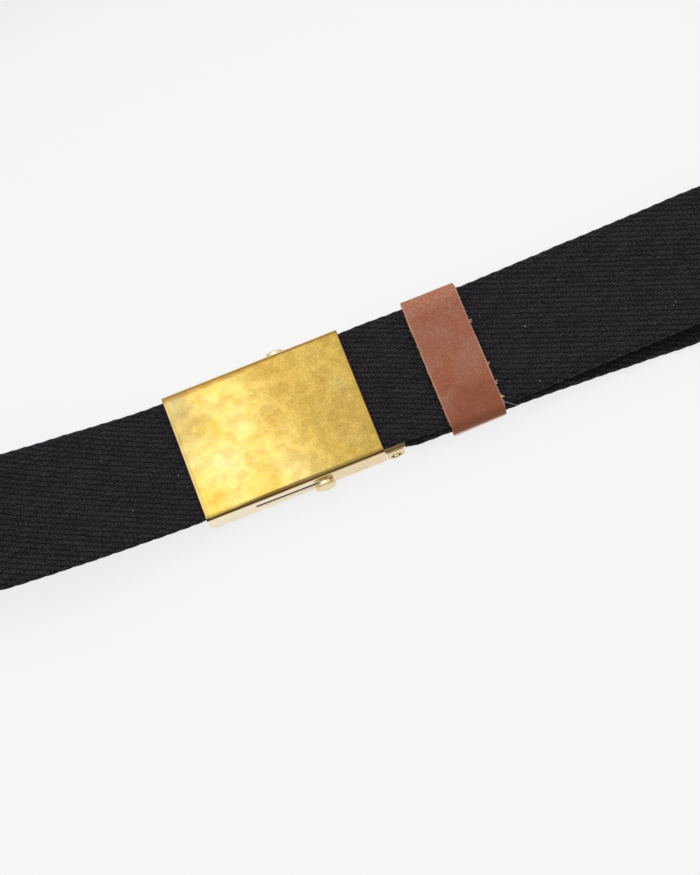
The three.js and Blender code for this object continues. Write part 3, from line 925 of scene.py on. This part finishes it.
def make_webbing(stations):
    middle, across, outward, width, at = stations
    outline = strap_outline()
    last, around = len(at) - 1, len(outline) - 1
    bm = bmesh.new()
    bmesh.ops.create_grid(bm, x_segments=last, y_segments=around, size=0.5)
    half = STRAP_THICKNESS / 2
    strap_map = bm.loops.layers.uv.new("strap")
    spots = {}
    for vert in bm.verts:
        i = round((vert.co.x + 0.5) * last)
        j = round((vert.co.y + 0.5) * around)
        share, height, edge = outline[j]
        side = width[i] / 2 - EDGE_INSET
        over = EDGE_INSET * edge + selvedge(at[i], share) * edge
        sideways = share * side + math.copysign(over, share)
        rib = rib_height(at[i], sideways if height > 0 else -sideways)
        ease = 1 - abs(share) ** 12
        lift = height * (half - RIB_DEPTH * (1 - rib) * (0.35 + 0.65 * ease) * (edge == 0))
        ripple = STRAP_RIPPLE * noise.noise(Vector((at[i] / 23.0, 4.0, 0.0)))
        place = middle[i] + across[i] * (sideways + ripple) + outward[i] * lift
        vert.co = Vector(place)
        spots[vert.index] = (at[i] * MM, sideways * MM)
    for face in bm.faces:
        for loop in face.loops:
            loop[strap_map].uv = spots[loop.vert.index]
    bmesh.ops.remove_doubles(bm, verts=bm.verts, dist=1e-4)
    rims = [edge for edge in bm.edges if edge.is_boundary]
    for cap in bmesh.ops.holes_fill(bm, edges=rims, sides=0)["faces"]:
        cap.material_index = 1
        inner = bmesh.ops.inset_region(bm, faces=[cap], thickness=0.35, depth=0.12)
        for face in inner["faces"]:
            face.material_index = 1
    bmesh.ops.recalc_face_normals(bm, faces=bm.faces)
    return piece("webbing_strip", bm, [COTTON, CUT_COTTON], ["webbing"], 60)


def add_fibre(bm, start, way, length, radius, curl):
    """Adds a tapered hair that leaves a place and bends to one side."""
    hair = bmesh.new()
    bmesh.ops.create_cone(
        hair, segments=3, radius1=radius, radius2=radius * 0.4, depth=length, cap_ends=True
    )
    sides = [e for e in hair.edges if abs(e.verts[0].co.z - e.verts[1].co.z) > length / 2]
    bmesh.ops.subdivide_edges(hair, edges=sides, cuts=3)
    turn = Vector((0, 0, 1)).rotation_difference(Vector(way).normalized()).to_matrix()
    for vert in hair.verts:
        share = vert.co.z / length + 0.5
        local = Vector((vert.co.x + curl * share * share, vert.co.y, share * length))
        vert.co = Vector(start) + turn @ local
    made = bpy.data.meshes.new("hair")
    hair.to_mesh(made)
    hair.free()
    bm.from_mesh(made)
    bpy.data.meshes.remove(made)


def make_fuzz(stations):
    """Loose hairs of cotton that stand out of the two edges and the face of the strap."""
    middle, across, outward, width, at = stations
    bm = bmesh.new()
    for _ in range(FUZZ_COUNT):
        i = draw.randrange(4, len(at) - 4)
        edge = draw.random() < FUZZ_ON_EDGES
        side = draw.choice((-1, 1))
        share = side if edge else draw.uniform(-0.95, 0.95)
        height = draw.uniform(-0.5, 0.9) if edge else 0.95
        lean = draw.uniform(-0.8, 0.8)
        along = np.cross(across[i], outward[i])
        out = outward[i]
        if edge:
            out = across[i] * side * 0.9 + outward[i] * draw.uniform(-0.2, 0.6)
        start = middle[i] + across[i] * share * (width[i] / 2 - 0.15) + outward[i] * height
        way = out + along * lean
        near_floor = start[2] < 1.0
        if near_floor:
            way[2] = abs(way[2])
        length = draw.uniform(*FUZZ_LENGTHS)
        add_fibre(bm, start, way, length, FUZZ_RADIUS, draw.uniform(-0.25, 0.25))
    return piece("webbing_fuzz", bm, [FUZZ])


def make_lint(stations):
    """White bits of lint on the strap's face, and a loose thread beside the keeper."""
    middle, across, outward, _, at = stations
    tail = at[-1] - TAIL_END
    bm = bmesh.new()
    spots = [(tail + x, y, SEEN_LINT_RADIUS, length) for x, y, length in SEEN_LINT]
    for _ in range(LINT_COUNT):
        place, side = draw.uniform(90, at[-1] - 5), draw.uniform(-17, 17)
        spots.append((place, side, LINT_RADIUS, draw.uniform(*LINT_LENGTHS)))
    for place, side, radius, length in spots:
        i = min(int(place / at[-1] * (len(at) - 1)), len(at) - 2)
        along = np.cross(across[i], outward[i])
        turn = draw.uniform(0, math.pi)
        way = along * math.cos(turn) + across[i] * math.sin(turn) + outward[i] * 0.12
        start = middle[i] + across[i] * side + outward[i] * (STRAP_THICKNESS / 2 - 0.02)
        start = start + along * (place - at[i])
        add_fibre(bm, start, way, length, radius, draw.uniform(-0.2, 0.2))
    add_fibre(bm, **THREAD, curl=0.8)
    return piece("webbing_lint", bm, [LINT])


def round_off(bm, edges, offset, segments):
    shape = {"offset": offset, "segments": segments, "profile": 0.5, "material": -1}
    bmesh.ops.bevel(bm, geom=list(edges), affect="EDGES", **shape)


def rounded_ring(low, high, floor, top, radius, count):
    """Evenly spaced places round an upright rounded box in Y and Z."""
    corners = [
        (high - radius, top - radius, 0),
        (low + radius, top - radius, 90),
        (low + radius, floor + radius, 180),
        (high - radius, floor + radius, 270),
    ]
    fine = []
    for y, z, start in corners:
        for angle in np.radians(np.linspace(start, start + 90, 24)):
            fine.append((y + radius * math.cos(angle), z + radius * math.sin(angle)))
    fine.append(fine[0])
    fine = np.array(fine)
    length = np.concatenate([[0], np.cumsum(np.linalg.norm(np.diff(fine, axis=0), axis=1))])
    at = np.linspace(0, length[-1], count + 1)
    return np.stack([np.interp(at, length, fine[:, 0]), np.interp(at, length, fine[:, 1])], 1)


def make_keeper():
    """The band of leather round the tail and the fixed strap."""
    wide, count = KEEPER_CELLS
    ring = rounded_ring(
        KEEPER_FRONT - LEATHER,
        KEEPER_BACK + LEATHER,
        KEEPER_FLOOR - LEATHER,
        KEEPER_TOP + LEATHER,
        LEATHER_FOLD + LEATHER,
        count,
    )
    bm = bmesh.new()
    bmesh.ops.create_grid(bm, x_segments=wide, y_segments=count, size=0.5)
    middle = (KEEPER_START + KEEPER_END) / 2
    for vert in bm.verts:
        share = vert.co.x * 2
        y, z = ring[round((vert.co.y + 0.5) * count) % count]
        fold = math.exp(-(((y - KEEPER_FRONT + LEATHER) / KEEPER_BEND) ** 2))
        fold += 0.6 * math.exp(-(((y - KEEPER_BACK - LEATHER) / KEEPER_BEND) ** 2))
        half = (KEEPER_END - KEEPER_START) / 2 - KEEPER_NARROWS * fold
        wave = KEEPER_WAVE * noise.noise(Vector((share * 3, y / 4.0, z / 2.0)))
        ragged = KEEPER_RAGGED * noise.noise(Vector((share * 9, y / 3.0, z / 3.0)))
        edge = ragged * abs(share) ** 4
        vert.co = Vector((middle + share * half + edge, y, z))
        tuck = KEEPER_TUCK * max(0.0, min(1.0, (8.0 - z) / 4.0)) * (y < KEEPER_FRONT + 2)
        lift = wave if z > FIXED_HEIGHT else -wave * 0.3
        vert.co += Vector((0, tuck * (0.6 + 0.4 * share), lift))
    bmesh.ops.remove_doubles(bm, verts=bm.verts, dist=1e-4)
    bmesh.ops.recalc_face_normals(bm, faces=bm.faces)
    bmesh.ops.solidify(bm, geom=bm.faces[:], thickness=LEATHER)
    bmesh.ops.recalc_face_normals(bm, faces=bm.faces)
    bm.normal_update()
    cut = [face for face in bm.faces if abs(face.normal.x) > 0.8]
    for face in cut:
        face.material_index = 1
    rims = {
        edge
        for face in cut
        for edge in face.edges
        if len(edge.link_faces) == 2 and sum(f.material_index for f in edge.link_faces) == 1
    }
    round_off(bm, rims, KEEPER_BEVEL, 2)
    leather = [LEATHER_FACE, LEATHER_EDGE]
    return piece("keeper_band", bm, leather, ["leather_keeper"], 50)


def make_keeper_fibres():
    """Tufts of pale fibre that stand out of the keeper's cut edges."""
    bm = bmesh.new()
    tufts = [(KEEPER_END, y, 9, 0.75) for y in TUFT_PLACES]
    for _ in range(SHORT_FIBRES):
        tufts.append((draw.choice((KEEPER_START, KEEPER_END)), draw.uniform(-20, 19), 1, 0.35))
    for x, y, count, length in tufts:
        outwards = 1 if x > KEEPER_START else -1
        for _ in range(count):
            start = (x - 0.1 * outwards, y + draw.uniform(-0.35, 0.35), draw.uniform(9.4, 10.2))
            way = (outwards, draw.uniform(-0.9, 0.9), draw.uniform(-0.2, 0.5))
            long = length * draw.uniform(0.6, 1.3)
            radius = 0.05 + 0.05 * (count > 1)
            add_fibre(bm, start, way, long, radius, draw.uniform(-0.2, 0.2))
    return piece("keeper_fibres", bm, [TAN_FIBRE])


def copy_of(name):
    """A node's mesh with its doubles merged and flat areas joined, in millimetres."""
    bm = bmesh.new()
    bm.from_mesh(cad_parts[name].data)
    bmesh.ops.translate(bm, verts=bm.verts, vec=-ORIGIN)
    bmesh.ops.scale(bm, verts=bm.verts, vec=(1 / MM, 1 / MM, 1 / MM))
    bmesh.ops.remove_doubles(bm, verts=bm.verts, dist=1e-3)
    bmesh.ops.dissolve_limit(bm, angle_limit=math.radians(1), verts=bm.verts, edges=bm.edges)
    return bm


def make_case():
    """The folded brass case, with the shallow dents and waves of thin worn sheet."""
    bm = copy_of("buckle_case")
    for axis, reach, step in ((0, CASE_END, 1.8), (1, CASE_WIDTH / 2, 1.7)):
        way = Vector((axis == 0, axis == 1, 0))
        cuts = int(2 * reach / step)
        for k in range(1, cuts):
            bmesh.ops.bisect_plane(
                bm,
                geom=bm.verts[:] + bm.edges[:] + bm.faces[:],
                plane_co=way * (-reach + 2 * reach * k / cuts),
                plane_no=way,
            )
    for vert in bm.verts:
        x, y, z = vert.co
        sink = SHEET_WAVE * noise.noise(Vector((x / 13.0, y / 11.0, 3.0)))
        sink += 0.02 * noise.noise(Vector((x / 5.0, y / 5.0, 9.0)))
        belly = SHEET_WAVE * (1 - (x / CASE_END) ** 2) * (1 - (2 * y / CASE_WIDTH) ** 2)
        bow = SHEET_WAVE * noise.noise(Vector((x / 16.0, z / 9.0, 20.0 if y > 0 else 30.0)))
        vert.co += Vector((0, bow, sink + belly))
    bm.normal_update()
    for face in bm.faces:
        x, y, z = face.calc_center_median()
        in_slot = -14 < x < 12 and 3.8 < z < 9 and abs(y) > CASE_WIDTH / 2 - 1.2
        if in_slot and abs(face.normal.y) < 0.5:
            face.material_index = 1
    return piece("case_shell", bm, [WORN_BRASS, CUT_BRASS], ["buckle_case"], 30)


def make_clamp():
    return piece("clamp_shell", copy_of("clamp_plate"), [CLAMP_BRASS], ["clamp_plate"], 30)


def make_bar():
    """The friction bar with its two domed heads."""
    start = CASE_WIDTH / 2 + BAR_GAP
    end = start + HEAD_THICKNESS
    profile = [
        (0.0, end + 0.36),
        (0.9, end + 0.33),
        (1.8, end + 0.24),
        (2.45, end + 0.08),
        (2.8, end - 0.1),
        (2.97, end - 0.3),
        (3.0, end - 0.5),
        (3.0, start + 0.15),
        (2.85, start),
        (1.2, start),
        (1.2, 19.0),
        (1.5, 19.0),
    ]
    whole = [(r, -y) for r, y in profile] + [(r, y) for r, y in reversed(profile)]
    bm = bmesh.new()
    verts = [bm.verts.new((r, y, 0)) for r, y in whole]
    edges = [bm.edges.new(pair) for pair in zip(verts, verts[1:])]
    round_y = {"cent": (0, 0, 0), "axis": (0, 1, 0), "angle": 2 * math.pi}
    bmesh.ops.spin(bm, geom=verts + edges, **round_y, steps=40, use_merge=True)
    bmesh.ops.remove_doubles(bm, verts=bm.verts, dist=1e-4)
    bmesh.ops.recalc_face_normals(bm, faces=bm.faces)
    bmesh.ops.translate(bm, verts=bm.verts, vec=(BAR_PLACE, BAR_SHIFT, BAR_HEIGHT))
    return piece("bar_with_heads", bm, [PALE_BRASS], ["friction_bar"], 40)


def make_pin():
    """The hinge pin, with its ends hammered over a little."""
    bm = bmesh.new()
    bmesh.ops.create_cone(
        bm, segments=32, radius1=PIN_RADIUS, radius2=PIN_RADIUS, depth=2 * PIN_HALF, cap_ends=True
    )
    rims = [edge for edge in bm.edges if abs(edge.verts[0].co.z - edge.verts[1].co.z) < 1e-6]
    round_off(bm, rims, PIN_BEVEL, 4)
    bmesh.ops.rotate(bm, verts=bm.verts, matrix=Matrix.Rotation(math.pi / 2, 3, "X"))
    bmesh.ops.translate(bm, verts=bm.verts, vec=(PIN_PLACE, 0, PIN_HEIGHT))
    return piece("peened_pin", bm, [PALE_BRASS], ["hinge_pin"], 40)


stations = strap_stations()
webbing = make_webbing(stations)
fuzz = make_fuzz(stations)
lint = make_lint(stations)
make_keeper()
make_keeper_fibres()
make_case()
make_clamp()
bar = make_bar()
make_pin()
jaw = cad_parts["clamp_jaw"].data
jaw.materials.clear()
jaw.materials.append(CLAMP_BRASS)


# Floor, light and camera

def make_floor():
    finish, tree, shader = new_finish("pale_floor")
    matt = {"Base Color": (0.15, 0.15, 0.15, 1), "Roughness": 1.0, "Specular IOR Level": 0.0}
    fill(tree, shader, {**matt, "Emission Color": (1, 1, 1, 1), "Emission Strength": 0.79})
    bm = bmesh.new()
    bmesh.ops.create_grid(bm, x_segments=1, y_segments=1, size=20)
    add_object("floor", bm, [finish])


def make_world():
    """A bright room overhead that gets darker near the horizon in front of the belt."""
    world = bpy.data.worlds.new("studio")
    world.use_nodes = True
    tree = world.node_tree
    way = parts_of(tree, node(tree, "TexCoord").outputs["Generated"])
    share = rise(tree, way[2], 0.25, 0.8)
    low = tint(tree, rise(tree, way[1], -0.3, 0.3), (0.10, 0.095, 0.09), (0.85, 0.84, 0.82))
    colour = tint(tree, share, low, (1.0, 1.0, 1.0))
    fill(tree, tree.nodes["Background"], {"Color": colour, "Strength": 0.95})
    bpy.context.scene.world = world


def softbox(name, place, aim, size, power):
    light = bpy.data.lights.new(name, "AREA")
    light.shape = "RECTANGLE"
    light.size, light.size_y = size
    light.energy = power
    lamp = bpy.data.objects.new(name, light)
    lamp.location = place
    way = Vector(place) - Vector(aim)
    lamp.rotation_euler = way.to_track_quat("Z", "Y").to_euler()
    bpy.context.scene.collection.objects.link(lamp)


def make_camera():
    """The camera stands in front of the buckle and looks down at it, turned in its own plane."""
    azimuth, elevation, turn = (math.radians(angle) for angle in CAMERA_ANGLES)
    flat = math.cos(elevation)
    back = Vector((-math.sin(azimuth) * flat, -math.cos(azimuth) * flat, math.sin(elevation)))
    level = Vector((0, 0, 1)).cross(back).normalized()
    upright = back.cross(level)
    right = level * math.cos(turn) + upright * math.sin(turn)
    up = upright * math.cos(turn) - level * math.sin(turn)
    data = bpy.data.cameras.new("camera")
    data.sensor_fit = "HORIZONTAL"
    data.sensor_width = SENSOR
    data.lens = LENS / PICTURE_WIDTH * SENSOR
    data.clip_start = 0.01
    camera = bpy.data.objects.new("camera", data)
    turned = Matrix((right, up, back)).transposed().to_4x4()
    stand = Vector(CAMERA_AIM) + back * CAMERA_DISTANCE
    camera.matrix_world = Matrix.Translation(ORIGIN + stand * MM) @ turned
    bpy.context.scene.collection.objects.link(camera)
    bpy.context.scene.camera = camera


make_floor()
make_world()
softbox("key", ORIGIN + Vector((-0.15, 0.55, 1.2)), ORIGIN, (0.9, 0.7), 2.6)
make_camera()
bpy.context.scene.view_settings.view_transform = "Standard"
